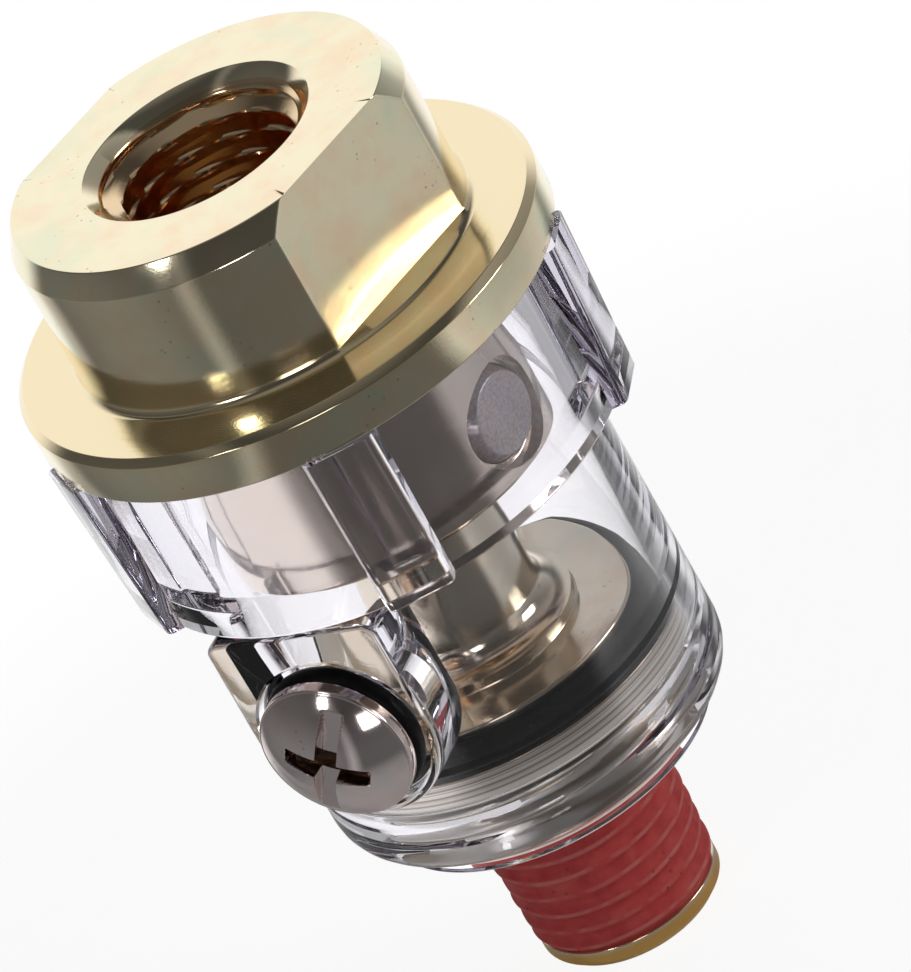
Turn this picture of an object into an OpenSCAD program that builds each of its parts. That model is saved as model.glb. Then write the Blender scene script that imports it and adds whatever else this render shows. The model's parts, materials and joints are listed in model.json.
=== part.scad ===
// In-line air lubricator with a clear oil bowl.
// The origin lies on the air line, where the outlet thread meets the underside of the bowl.
// The air line runs along Z with the inlet up, and the filler boss on the bowl faces -Y.

/* [Inlet head] */
// How far the flange reaches past the band of the bowl
flange_over = 1.1; // [0.2:0.1:3]
// Thickness of the flange
flange_t = 3.1; // [2.6:0.1:5]
// Bevel on the top rim of the flange
flange_bevel = 0.45; // [0.1:0.05:1]
// Diameter of the turned body above the flange
head_d = 26; // [24:0.2:30]
// Height of the turned body above the flange
head_h = 10.4; // [8:0.2:16]
// Width of the bevel round the inlet face
head_bevel_w = 0.75; // [0.2:0.05:1.5]
// Height of the bevel round the inlet face
head_bevel_h = 1.6; // [0.5:0.1:3]
// Fillet where the turned body meets the flange
head_fillet = 0.6; // [0.2:0.1:1.2]
// Width across the two wrench flats
wrench_af = 22.6; // [20:0.2:24]
// Height of the lower end of the wrench flats above the flange
flat_rise = 0.15; // [0.05:0.05:0.5]
// Direction of the wrench flats, measured round from the filler boss
flat_turn = 74; // [0:0.5:180]
// Diameter of the inlet bore at the root of its thread
inlet_d = 13.5; // [12:0.1:15]
// Length of the inlet thread
inlet_len = 13; // [9:0.5:13.5]
// Width of the countersink round the mouth of the inlet
inlet_mouth_w = 0.75; // [0.3:0.05:1.5]
// Included angle at the end of the drilled inlet
drill_angle = 118; // [90:1:140]
// Diameter of the spigot that hangs inside the bowl
spigot_d = 22; // [20:0.2:26]
// Length of the spigot below the flange
spigot_len = 11.6; // [9:0.2:14]
// Bevel round the bottom of the spigot
spigot_bevel = 0.4; // [0.1:0.1:1]

/* [Bowl] */
// Height of the bowl
bowl_h = 35; // [32:0.5:45]
// Gap between the spigot and the bore of the bowl
spigot_gap = 0.6; // [0.3:0.1:1.5]
// Widening of the bore at its top, for the mould to release
bore_draft = 1.6; // [0:0.1:2]
// Thickness of the wall below the band
bowl_wall = 1.8; // [1.2:0.1:3]
// Thickness of the band at the top of the bowl
band_wall = 3.7; // [2.6:0.1:5]
// Height of the band
band_h = 11.7; // [10:0.1:14]
// Thickness of the bowl's floor
floor_t = 5.8; // [4.5:0.1:7]
// Radius of the rounded bottom edge of the bowl
bowl_round = 2.4; // [1:0.1:3.2]
// Thickness of the lip under the bowl
lip_wall = 1.5; // [1:0.1:2]
// Height of the lip under the bowl
lip_h = 1.3; // [0.5:0.1:2]
// Number of grip ribs round the band
rib_count = 5; // [3:1:6]
// Direction of the first grip rib, measured round from the filler boss
rib_turn = 33; // [25:1:45]
// Width of a grip rib
rib_w = 4.9; // [2:0.1:6]
// How far a grip rib stands out from the top of the band
rib_out = 1.4; // [0.9:0.05:2]
// How much less it stands out at the bottom of the band
rib_draft = 0.6; // [0:0.05:0.8]
// Radius of the long edges of a grip rib
rib_round = 0.6; // [0.2:0.1:0.8]

/* [Filler boss and screw] */
// Thickness of plastic between the bore and the flat face of the boss
boss_wall = 4.4; // [4.2:0.1:6]
// Width of the rim left round the seat in the boss
boss_rim = 0.6; // [0.4:0.1:2]
// Bevel on the two top corners of the boss
boss_bevel = 1; // [0.4:0.1:2]
// Height of the filler hole above the bottom of the bowl
filler_rise = 15.3; // [14:0.1:17]
// Gap between the seal and the side of its seat in the boss
seat_gap = 0.45; // [0.1:0.05:0.8]
// Depth of that seat
seat_depth = 1.1; // [0.3:0.1:1.3]
// Thread diameter of the fill screw
screw_d = 6; // [4:0.5:6.5]
// Thread pitch of the fill screw
screw_pitch = 1; // [0.7:0.05:1.2]
// Turns of thread that hold the fill screw
screw_turns = 2.5; // [1.5:0.25:3]
// Diameter of the fill screw's head
screw_head_d = 9.8; // [9:0.1:10.4]
// Height of the straight rim of the head
screw_rim_h = 0.8; // [0.4:0.1:1.5]
// Height of the dome above that rim
screw_dome_h = 1.9; // [1.2:0.1:2.6]
// Width of the straight driver slot
slot_w = 1.25; // [0.8:0.05:1.6]
// Depth of the straight driver slot below the top of the dome
slot_depth = 1.5; // [0.8:0.1:2]
// Length across the cross recess
cross_len = 5.2; // [3.5:0.1:6]
// Width of an arm of the cross recess
cross_w = 1.2; // [0.8:0.05:1.6]
// Depth of the cross recess below the top of the dome
cross_depth = 2; // [1:0.1:2.4]

/* [Outlet stem] */
// Diameter of the outlet at the root of its thread
outlet_d = 12.5; // [11:0.1:14]
// Length of the outlet below the bowl
outlet_len = 13; // [11:0.5:18]
// Bevel at the end of the outlet
outlet_bevel = 0.6; // [0.2:0.1:1.2]
// Diameter of the air passage
passage_d = 6; // [4.6:0.1:6.4]
// Diameter of the stem inside the bowl
stem_d = 10.2; // [9.4:0.1:12]
// Height of the step from the stem to its threaded neck
neck_step = 0.8; // [0.4:0.1:1.2]
// Length of plain passage between the top of the neck and the drilled inlet
neck_land = 0.9; // [0.3:0.1:2.5]
// Gap between the rim of the disc and the bore
disc_gap = 1.4; // [0.6:0.1:2]
// Thickness of the disc above its seal
disc_t = 0.65; // [0.5:0.05:1.5]
// How far the collar at the foot of the stem stands out
collar_out = 1.7; // [0.8:0.1:2.5]
// Height of the straight side of the collar
collar_h = 0.7; // [0.3:0.1:1.5]
// Thickness of the base plate that rests on the bowl's floor
base_t = 1; // [0.8:0.1:2]
// Root diameter of the thread under the base plate
base_thread_d = 18; // [16:0.1:19]
// Height of that thread, from its root to the hole in the floor
base_thread_h = 0.8; // [0.4:0.1:1]

/* [Seals, plug and sealant] */
// Cord diameter of the seal round the base
base_seal_cord = 2.6; // [2.2:0.1:3]
// Radial squeeze of that seal
base_seal_squeeze = 0.2; // [0.05:0.05:0.4]
// Cord diameter of the seal under the flange
head_seal_cord = 1.6; // [1.2:0.1:1.8]
// Squeeze of that seal
head_seal_squeeze = 0.3; // [0.1:0.05:0.4]
// Cord diameter of the seal under the screw head
screw_seal_cord = 2; // [1.6:0.1:2.2]
// Squeeze of that seal
screw_seal_squeeze = 0.3; // [0.05:0.05:0.4]
// Diameter of the porous metering plug
plug_d = 5.8; // [4:0.1:6.4]
// Length of the porous metering plug
plug_len = 3.6; // [2:0.1:4.4]
// Height of the metering plug above the bottom of the spigot
plug_rise = 3.9; // [3.6:0.1:5]
// Direction of the metering plug, measured round from the filler boss
plug_turn = 81.5; // [0:0.5:180]
// Depth of the plug's face below the surface of the spigot
plug_sink = 0.35; // [0.1:0.05:0.6]
// Width of the open ring round the plug's face
plug_ring_w = 0.42; // [0.2:0.02:0.6]
// Depth of that open ring
plug_ring_depth = 1; // [0.7:0.1:1.5]
// Diameter of the oil port behind the plug
port_d = 1.8; // [1:0.1:2.4]
// Thickness of the dried sealant on the outlet thread
sealant_t = 0.45; // [0.2:0.05:0.8]
// Bare length at the end of the outlet
sealant_bare = 1.6; // [1:0.1:4]

/* [Fits] */
// Gap round a turned fit
fit_gap = 0.05; // [0.02:0.01:0.1]
// Gap between a seal and the metal beside it
seal_gap = 0.05; // [0.02:0.01:0.1]

/* [Hidden] */
$fn = 96;
// Overlap that makes a cut pass through a face
cut = 1;
// How far the round of the foot fillet bites into the two faces that it joins
fillet_bite = 0.05;

// Heights of the faces that meet, from the outlet end up
outlet_z = -outlet_len;
bowl_z = 0;
floor_z = bowl_z + floor_t;
filler_z = bowl_z + filler_rise;
flange_z = bowl_z + bowl_h;
band_z = flange_z - band_h;
head_z = flange_z + flange_t;
top_z = head_z + head_h;
spigot_z = flange_z - spigot_len;
plug_z = spigot_z + plug_rise;

// Bowl, from its bore outwards
bore_d = spigot_d + 2 * spigot_gap;
bore_top_d = bore_d + bore_draft;
bowl_d = bore_d + 2 * bowl_wall;
band_d = bore_top_d + 2 * band_wall;
flange_d = band_d + 2 * flange_over;
floor_hole_d = base_thread_d + 2 * base_thread_h;
lip_d = floor_hole_d + 2 * lip_wall;
boss_reach = bore_d / 2 + boss_wall;
rib_r = band_d / 2 + rib_out;

// Base of the stem: plate, seal groove and disc
plate_d = bore_d - 2 * fit_gap;
disc_d = bore_d - 2 * disc_gap;
base_seal_w = base_seal_cord - base_seal_squeeze;
groove_r = bore_d / 2 - base_seal_w;
groove_z = floor_z + base_t;
groove_h = base_seal_cord + 2 * seal_gap;
base_seal_z = groove_z + groove_h / 2;
disc_z = groove_z + groove_h;
disc_top_z = disc_z + disc_t;

// Inlet bore: end of its thread, and the drilled cone below it
inlet_end_z = top_z - inlet_mouth_w - inlet_len;
cone_z = inlet_end_z - (inlet_d - passage_d) / 2 / tan(drill_angle / 2);

// Neck of the stem in the spigot, with the ring groove that takes oil to the passage
neck_d = stem_d - 2 * neck_step;
neck_top_z = cone_z - neck_land;
port_groove_r = (passage_d + neck_d) / 4;

// Seal under the flange, centred on the rim of the bowl
head_seal_r = (bore_top_d + band_d) / 4;
head_groove_h = head_seal_cord - head_seal_squeeze;
head_groove_w = head_seal_cord + 2 * seal_gap;

// Fill screw along -Y: seat, seal, head and thread
screw_seal_r = screw_d / 2 + seal_gap + screw_seal_cord / 2;
screw_seal_h = screw_seal_cord - screw_seal_squeeze;
seat_d = 2 * screw_seal_r + screw_seal_cord + 2 * seat_gap;
boss_w = seat_d + 2 * boss_rim;
seat_y = boss_reach - seat_depth;
screw_head_y = seat_y + screw_seal_h;
screw_top_y = screw_head_y + screw_rim_h + screw_dome_h;
screw_tip_y = seat_y - screw_turns * screw_pitch;
dome_r = (pow(screw_head_d / 2, 2) + pow(screw_dome_h, 2)) / (2 * screw_dome_h);

// Metering plug, set in the side of the spigot
plug_face_r = spigot_d / 2 - plug_sink;
plug_back_r = plug_face_r - plug_len;

// Turns a shape that points along +Z to point along -Y, at the height of the filler
module on_filler_axis() {
    translate([0, 0, filler_z])
        rotate([90, 0, 0])
            children();
}

// Turns a shape that points along +Z to point outwards at the metering plug
module on_plug_axis() {
    translate([0, 0, plug_z])
        rotate([0, 0, plug_turn - 90])
            rotate([0, 90, 0])
                children();
}

// A round seal on the Z axis, flattened to the width and height that its seat leaves
module seal(ring_r, cord, width, height) {
    rotate_extrude()
        translate([ring_r, 0])
            intersection() {
                circle(d = cord);
                square([width, height], center = true);
            }
}

// The head as turned: spigot, flange, and the body with its bevelled inlet face
module head_turned() {
    spigot_r = spigot_d / 2;
    flange_r = flange_d / 2;
    head_r = head_d / 2;
    rotate_extrude() {
        polygon([
            [0, spigot_z],
            [spigot_r - spigot_bevel, spigot_z],
            [spigot_r, spigot_z + spigot_bevel],
            [spigot_r, flange_z],
            [flange_r, flange_z],
            [flange_r, head_z - flange_bevel],
            [flange_r - flange_bevel, head_z],
            [head_r, head_z],
            [head_r, top_z - head_bevel_h],
            [head_r - head_bevel_w, top_z],
            [0, top_z]
        ]);
        difference() {
            translate([0, head_z - flange_t / 2])
                square([head_r + head_fillet, flange_t / 2 + head_fillet]);
            translate([head_r + head_fillet, head_z + head_fillet])
                circle(r = head_fillet + fillet_bite);
        }
    }
}

// The metal that is milled away outside the two wrench flats
module beside_the_flats() {
    for (side = [0, 180])
        rotate([0, 0, flat_turn - 90 + side])
            translate([wrench_af / 2, -flange_d, head_z + flat_rise])
                cube([flange_d, 2 * flange_d, head_h + cut]);
}

// The air way through the head: stem socket, passage, drilled cone, thread and mouth
module head_air_way() {
    socket_r = neck_d / 2 + fit_gap;
    socket_end_z = neck_top_z + fit_gap;
    rotate_extrude()
        polygon([
            [0, spigot_z - cut],
            [socket_r, spigot_z - cut],
            [socket_r, socket_end_z],
            [passage_d / 2, socket_end_z],
            [passage_d / 2, cone_z],
            [inlet_d / 2, inlet_end_z],
            [inlet_d / 2, top_z - inlet_mouth_w],
            [inlet_d / 2 + inlet_mouth_w + cut, top_z + cut],
            [0, top_z + cut]
        ]);
}

// The stepped side hole for the metering plug, and the port behind it
module plug_hole() {
    on_plug_axis() {
        translate([0, 0, spigot_d / 2 - plug_ring_depth])
            cylinder(d = plug_d + 2 * plug_ring_w, h = plug_ring_depth + cut);
        translate([0, 0, plug_back_r])
            cylinder(d = plug_d + 2 * fit_gap, h = plug_len);
        cylinder(d = port_d, h = plug_back_r + cut);
    }
}

module inlet_head() {
    color("#b8a878")
        difference() {
            head_turned();
            beside_the_flats();
            head_air_way();
            plug_hole();
            translate([0, 0, flange_z])
                rotate_extrude()
                    translate([head_seal_r, 0])
                        square([head_groove_w, 2 * head_groove_h], center = true);
        }
}

// The section of a grip rib, with two rounded long edges at its outer face
module rib_section() {
    rib_core = rib_w - 2 * rib_round;
    root_r = band_d / 2 - band_wall / 3;
    translate([root_r, -rib_w / 2])
        square([rib_r - rib_round - root_r, rib_w]);
    translate([root_r, -rib_core / 2])
        square([rib_r - root_r, rib_core]);
    for (side = [-1, 1])
        translate([rib_r - rib_round, side * rib_core / 2])
            circle(r = rib_round);
}

// One grip rib: an upright bar that leans in towards the bottom of the band
module rib() {
    lean = atan(rib_draft / band_h);
    intersection() {
        translate([0, -rib_w, band_z])
            cube([2 * rib_r, 2 * rib_w, band_h]);
        translate([rib_r, 0, flange_z])
            rotate([0, lean, 0])
                translate([-rib_r, 0, -2 * band_h])
                    linear_extrude(height = 3 * band_h)
                        rib_section();
    }
}

// The outside of the bowl as turned: lip, rounded bottom edge, wall and band
module bowl_outside() {
    wall_r = bowl_d / 2;
    round_z = bowl_z + lip_h + bowl_round;
    rotate_extrude() {
        translate([0, bowl_z])
            square([lip_d / 2, floor_t]);
        translate([0, bowl_z + lip_h])
            square([wall_r - bowl_round, bowl_round]);
        intersection() {
            translate([wall_r - bowl_round, round_z])
                circle(r = bowl_round);
            translate([0, bowl_z])
                square([wall_r, round_z - bowl_z]);
        }
        translate([0, round_z])
            square([wall_r, flange_z - round_z]);
        translate([0, band_z])
            square([band_d / 2, band_h]);
    }
}

// The upright boss for the filler, square under the band and round below
module boss() {
    half_w = boss_w / 2;
    boss_h = band_z - filler_z;
    on_filler_axis()
        linear_extrude(height = boss_reach) {
            circle(d = boss_w);
            polygon([
                [-half_w, 0],
                [half_w, 0],
                [half_w, boss_h - boss_bevel],
                [half_w - boss_bevel, boss_h],
                [boss_bevel - half_w, boss_h],
                [-half_w, boss_h - boss_bevel]
            ]);
        }
}

// The inside of the bowl: threaded hole in the floor, land for the base seal, and drafted bore
module bowl_inside() {
    draft_per_mm = bore_draft / 2 / (flange_z - disc_top_z);
    rotate_extrude()
        polygon([
            [0, bowl_z - cut],
            [floor_hole_d / 2, bowl_z - cut],
            [floor_hole_d / 2, floor_z],
            [bore_d / 2, floor_z],
            [bore_d / 2, disc_top_z],
            [bore_top_d / 2 + draft_per_mm * cut, flange_z + cut],
            [0, flange_z + cut]
        ]);
}

module bowl() {
    color("#dfe3ec", 0.45)
        difference() {
            union() {
                bowl_outside();
                boss();
                for (i = [0 : rib_count - 1])
                    rotate([0, 0, rib_turn + i * 360 / rib_count - 90])
                        rib();
            }
            bowl_inside();
            on_filler_axis() {
                cylinder(d = screw_d + 2 * fit_gap, h = boss_reach + cut);
                translate([0, 0, seat_y])
                    cylinder(d = seat_d, h = seat_depth + cut);
            }
        }
}

// The outlet end, the threaded base that holds the bowl, and the seal groove under the disc
module stem_base_profile() {
    polygon([
        [0, outlet_z],
        [outlet_d / 2 - outlet_bevel, outlet_z],
        [outlet_d / 2, outlet_z + outlet_bevel],
        [outlet_d / 2, bowl_z],
        [base_thread_d / 2, bowl_z],
        [base_thread_d / 2, floor_z],
        [plate_d / 2, floor_z],
        [plate_d / 2, groove_z],
        [groove_r, groove_z],
        [groove_r, disc_z],
        [disc_d / 2, disc_z],
        [disc_d / 2, disc_top_z],
        [0, disc_top_z]
    ]);
}

// The stem with its swept collar, and the neck that screws into the spigot
module stem_top_profile() {
    stem_r = stem_d / 2;
    collar_r = stem_r + collar_out;
    sweep_z = disc_top_z + collar_h;
    translate([0, disc_top_z])
        square([collar_r, collar_h]);
    difference() {
        translate([0, sweep_z])
            square([collar_r, collar_out]);
        translate([collar_r, sweep_z + collar_out])
            circle(r = collar_out);
    }
    translate([0, disc_top_z])
        square([stem_r, spigot_z - disc_top_z]);
    translate([0, spigot_z - cut])
        square([neck_d / 2, neck_top_z - spigot_z + cut]);
}

module outlet_stem() {
    color("#a99a6e")
        difference() {
            rotate_extrude() {
                stem_base_profile();
                stem_top_profile();
            }
            translate([0, 0, outlet_z - cut])
                cylinder(d = passage_d, h = neck_top_z - outlet_z + 2 * cut);
            translate([0, 0, plug_z - port_d / 2])
                difference() {
                    cylinder(d = neck_d + cut, h = port_d);
                    cylinder(r = port_groove_r, h = port_d);
                }
            on_plug_axis()
                cylinder(d = port_d / 2, h = neck_d);
        }
}

module metering_plug() {
    color("#8d8790")
        on_plug_axis()
            translate([0, 0, plug_back_r])
                cylinder(d = plug_d, h = plug_len);
}

module head_o_ring() {
    color("#1c1b1d")
        translate([0, 0, flange_z + head_groove_h / 2])
            seal(head_seal_r, head_seal_cord, head_seal_cord, head_groove_h);
}

module base_o_ring() {
    color("#1c1b1d")
        translate([0, 0, base_seal_z])
            seal(groove_r + base_seal_w / 2, base_seal_cord, base_seal_w, base_seal_cord);
}

// The domed head of the screw, a cap of a sphere on a straight rim
module screw_head() {
    translate([0, 0, screw_head_y])
        cylinder(d = screw_head_d, h = screw_rim_h);
    intersection() {
        translate([0, 0, screw_top_y - dome_r])
            sphere(r = dome_r);
        translate([0, 0, screw_head_y + screw_rim_h])
            cylinder(d = screw_head_d, h = screw_dome_h + cut);
    }
}

module fill_screw() {
    shank_h = screw_head_y - screw_tip_y + screw_rim_h;
    color("#c9c5c2")
        on_filler_axis()
            difference() {
                union() {
                    screw_head();
                    translate([0, 0, screw_tip_y])
                        cylinder(d = screw_d, h = shank_h);
                }
                translate([-slot_w / 2, -screw_head_d, screw_top_y - slot_depth])
                    cube([slot_w, 2 * screw_head_d, slot_depth + cut]);
                for (turn = [0, 90])
                    rotate([0, 0, turn])
                        translate([-cross_len / 2, -cross_w / 2, screw_top_y - cross_depth])
                            cube([cross_len, cross_w, cross_depth + cut]);
            }
}

module fill_screw_o_ring() {
    color("#1c1b1d")
        on_filler_axis()
            translate([0, 0, seat_y + screw_seal_h / 2])
                seal(screw_seal_r, screw_seal_cord, screw_seal_cord, screw_seal_h);
}

module thread_sealant() {
    sealant_h = outlet_len - sealant_bare;
    color("#b3433f")
        translate([0, 0, outlet_z + sealant_bare])
            difference() {
                cylinder(d = outlet_d + 2 * sealant_t, h = sealant_h);
                translate([0, 0, -cut])
                    cylinder(d = outlet_d, h = sealant_h + 2 * cut);
            }
}

inlet_head();
bowl();
outlet_stem();
metering_plug();
head_o_ring();
base_o_ring();
fill_screw();
fill_screw_o_ring();
thread_sealant();
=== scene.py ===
# %% [markdown]
# # A small in-line air lubricator, one piece at a time
# The object screws into a compressed air line. Air enters the threaded head at the top, runs down a stem and
# leaves at the threaded end below, while oil from the clear bowl seeps in through a porous plug.
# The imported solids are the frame: they say where everything sits. This script adds what the solids leave out,
# such as threads, rounded edges and finishes.

# %% Load the frame
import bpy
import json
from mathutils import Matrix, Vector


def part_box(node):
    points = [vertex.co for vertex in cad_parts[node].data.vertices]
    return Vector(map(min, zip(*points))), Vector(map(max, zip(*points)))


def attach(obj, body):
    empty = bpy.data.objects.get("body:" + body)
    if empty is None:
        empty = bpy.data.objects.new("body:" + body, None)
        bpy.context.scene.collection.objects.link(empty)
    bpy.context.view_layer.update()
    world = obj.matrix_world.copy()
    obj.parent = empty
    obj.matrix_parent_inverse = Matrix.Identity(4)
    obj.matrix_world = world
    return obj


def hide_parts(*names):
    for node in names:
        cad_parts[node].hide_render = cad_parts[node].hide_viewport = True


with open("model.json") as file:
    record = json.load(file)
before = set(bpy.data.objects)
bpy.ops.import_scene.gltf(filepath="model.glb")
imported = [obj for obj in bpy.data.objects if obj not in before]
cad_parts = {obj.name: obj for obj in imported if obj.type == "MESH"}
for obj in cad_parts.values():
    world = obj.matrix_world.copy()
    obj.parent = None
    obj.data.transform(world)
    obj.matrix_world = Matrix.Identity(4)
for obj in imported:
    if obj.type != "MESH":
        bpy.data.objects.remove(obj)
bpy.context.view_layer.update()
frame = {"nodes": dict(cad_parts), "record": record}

# %% [markdown]
# ## Sizes
# Every surface below has to meet the solids, so its size is read from their boxes where a box gives it.
# The rest are the real sizes that a turner or a moulder would write on the drawing, in millimetres.

# %% Sizes from the boxes of the nodes
import json
import math
import bpy
import numpy as np
from mathutils import Matrix

MM = 0.001


def box_mm(node):
    """Lowest and highest corner of a node at rest, in millimetres."""
    low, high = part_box(node)
    return np.array(low) / MM, np.array(high) / MM


head_low, head_high = box_mm("inlet_head")
bowl_low, bowl_high = box_mm("bowl")
stem_low, stem_high = box_mm("outlet_stem")
sealant_low, sealant_high = box_mm("thread_sealant")
base_seal_low, base_seal_high = box_mm("base_o_ring")
screw_low, screw_high = box_mm("fill_screw")
screw_seal_low, screw_seal_high = box_mm("fill_screw_o_ring")

top_z, spigot_z, flange_r = head_high[2], head_low[2], head_high[0]
bowl_z, flange_z = bowl_low[2], bowl_high[2]
outlet_z, neck_top_z, plate_r = stem_low[2], stem_high[2], stem_high[0]
base_seal_r = base_seal_high[0]
filler_z = (screw_low[2] + screw_high[2]) / 2
screw_head_r, screw_top_y, screw_tip_y = screw_high[0], -screw_low[1], -screw_high[1]
mounts = {mount["name"]: mount["dims"] for mount in frame["record"]["mounts"]}
inlet_r, inlet_len = mounts["inlet"]["r_mm"], mounts["inlet"]["length_mm"]
sealant_r = mounts["outlet"]["r_mm"]
print("length", round(top_z - outlet_z, 2), "mm, flange", round(2 * flange_r, 2), "mm across")

# %% [markdown]
# ## Camera
# The photograph was taken with a long lens from above the filler side, and the object leans in the frame.
# A long lens far away keeps the upright edges nearly parallel, so the camera is placed by its two angles, its
# roll and its distance, and then shifted sideways in its own plane until the object sits where it should.

# %% Camera
IMAGE_SIZE = (911, 972)
FOCAL_PIXELS = 9125
SENSOR = 36
camera_azimuth, camera_elevation, camera_roll = np.radians([38.5, 29.34, -29.73])
camera_distance, camera_aside, camera_above = 569.25, -11.178, 26.134


def camera_axes(azimuth, elevation, roll):
    """Right, up and backward axes of a camera that circles the Z axis and is rolled about its view."""
    back = np.array([
        math.sin(azimuth) * math.cos(elevation),
        -math.cos(azimuth) * math.cos(elevation),
        math.sin(elevation),
    ])
    level = np.array([math.cos(azimuth), math.sin(azimuth), 0])
    upright = np.cross(back, level)
    right = math.cos(roll) * level + math.sin(roll) * upright
    return right, np.cross(back, right), back


def placed_at(axes, point):
    """The matrix of an object at a point in millimetres, with these right, up and backward axes."""
    matrix = np.eye(4)
    matrix[:3, :3] = np.stack(axes, axis=1)
    matrix[:3, 3] = point * MM
    return Matrix(matrix.tolist())


def add_object(name, data):
    """Makes an object at the origin for a mesh, a lamp or a camera and puts it into the scene."""
    made = bpy.data.objects.new(name, data)
    bpy.context.scene.collection.objects.link(made)
    return made


right, up, back = camera_axes(camera_azimuth, camera_elevation, camera_roll)
eye = np.array([0, 0, outlet_z]) + back * camera_distance + right * camera_aside + up * camera_above
camera = add_object("camera", bpy.data.cameras.new("camera"))
camera.data.sensor_width = SENSOR
camera.data.lens = FOCAL_PIXELS / max(IMAGE_SIZE) * SENSOR
camera.data.clip_start = 0.01
camera.matrix_world = placed_at((right, up, back), eye)
bpy.context.scene.camera = camera
print("camera", np.round(eye, 1), "mm, lens", round(camera.data.lens, 1), "mm")

# %% [markdown]
# ## From a grid of points to a mesh
# Most pieces here were turned on a lathe or moulded round one axis. Each is worked out as a grid: rows follow
# an outline, columns go round the axis, and quads join the points. Modifiers such as Screw could spin a
# profile too, but on a grid each point can still be moved on its own, which threads and flats need.

# %% Outlines with rounded corners
def unit(vectors):
    """Each vector divided by its own length."""
    return vectors / np.linalg.norm(vectors, axis=-1, keepdims=True)


def rounded_outline(corners, steps=7):
    """Closed outline through corners (across, along, radius), each swapped for an arc tangent to both sides.
    The arc's centre lies on the bisector, at radius / sin(half the angle between the sides)."""
    corners = np.array(corners, float)
    place, radius = corners[:, :2], corners[:, 2:]
    before = unit(np.roll(place, 1, axis=0) - place)
    after = unit(np.roll(place, -1, axis=0) - place)
    half = np.arccos(np.clip((before * after).sum(axis=1, keepdims=True), -1, 1)) / 2
    centre = place + unit(before + after) * radius / np.sin(half)
    start = place + before * radius / np.tan(half) - centre
    end = place + after * radius / np.tan(half) - centre
    swing = (np.pi - 2 * half)[:, None]
    share = np.linspace(0, 1, steps)[None, :, None]
    arc = np.sin((1 - share) * swing) * start[:, None] + np.sin(share * swing) * end[:, None]
    points = (centre[:, None] + arc / np.sin(swing)).reshape(-1, 2)
    apart = np.linalg.norm(points - np.roll(points, 1, axis=0), axis=1) > 1e-6
    return points[apart]


def finer(outline, longest, wall=None):
    """Adds even points on the sides of a closed outline, so that none is longer than the given length.
    With a wall, only the sides that lie at that radius are divided."""
    following = np.roll(outline, -1, axis=0)
    side = following - outline
    parts = np.ceil(np.linalg.norm(side, axis=1) / longest).astype(int).clip(1)
    if wall is not None:
        parts[~(np.isclose(outline[:, 0], wall) & np.isclose(following[:, 0], wall))] = 1
    first = np.repeat(np.arange(len(outline)), parts)
    share = (np.arange(len(first)) - np.repeat(np.cumsum(parts) - parts, parts)) / parts[first]
    return outline[first] + share[:, None] * side[first]


def turned(radius, height, angle):
    """Points at (radius cos angle, radius sin angle, height), for arrays that fit together."""
    radius, height, angle = np.broadcast_arrays(radius, height, angle)
    return np.stack([radius * np.cos(angle), radius * np.sin(angle), height], axis=-1)


def swung(outward, aside, angle):
    """The level coordinates of points that lie outward and aside, turned by an angle about the Z axis."""
    x = outward * math.cos(angle) - aside * math.sin(angle)
    y = outward * math.sin(angle) + aside * math.cos(angle)
    return x, y


def full_turn(columns):
    """Even angles round one turn, without repeating the first."""
    return np.arange(columns) / columns * 2 * np.pi


square = rounded_outline([(0, 0, 0.2), (1, 0, 0.2), (1, 1, 0.2), (0, 1, 0.2)])
print("an outline of one rounded square has", len(square), "points")

# %% [markdown]
# ## Meshes and cuts
# foreach_set hands whole arrays to the mesh, which is far quicker than adding one face at a time.
# Where two shapes meet, such as a boss on a bowl, a Boolean modifier joins or cuts them, and its result is
# kept as the piece's own mesh, so nothing is left to work out at render time.

# %% Mesh helpers
SHARP_ANGLE = math.radians(32)


def grid_faces(index):
    """Quads between each row of point numbers and the next, closed round the columns."""
    index = np.hstack([index, index[:, :1]])
    return np.stack([index[:-1, :-1], index[:-1, 1:], index[1:, 1:], index[1:, :-1]], axis=-1).reshape(-1, 4)


def mesh_from(name, points, quads, triangles):
    """A mesh from points in millimetres and whole arrays of four-sided and three-sided faces."""
    mesh = bpy.data.meshes.new(name)
    mesh.vertices.add(len(points))
    mesh.vertices.foreach_set("co", (points * MM).astype(np.float32).ravel())
    corners = np.concatenate([quads.ravel(), triangles.ravel()]).astype(np.int32)
    sides = np.repeat([4, 3], [len(quads), len(triangles)])
    mesh.loops.add(len(corners))
    mesh.loops.foreach_set("vertex_index", corners)
    mesh.polygons.add(len(sides))
    mesh.polygons.foreach_set("loop_start", (np.cumsum(sides) - sides).astype(np.int32))
    mesh.update(calc_edges=True)
    return mesh


def grid_piece(name, points, ring=True):
    """Joins a grid of points in millimetres, rows by columns, with quads that close round the columns.
    With ring the last row joins the first; without it each end row is one point, joined by triangles."""
    rows, columns = points.shape[:2]
    if ring:
        index = np.arange(rows * columns).reshape(rows, columns)
        quads = grid_faces(np.vstack([index, index[:1]]))
        triangles = np.empty((0, 3), int)
        return add_object(name, mesh_from(name, points.reshape(-1, 3), quads, triangles))
    between = points[1:-1].reshape(-1, 3)
    last = len(between) + 1
    index = 1 + np.arange(len(between)).reshape(rows - 2, columns)
    low, high = index[0], index[-1]
    below = np.stack([np.zeros_like(low), np.roll(low, -1), low], axis=1)
    above = np.stack([high, np.roll(high, -1), np.full_like(high, last)], axis=1)
    corners = np.vstack([points[0, :1], between, points[-1, :1]])
    return add_object(name, mesh_from(name, corners, grid_faces(index), np.vstack([below, above])))


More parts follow.
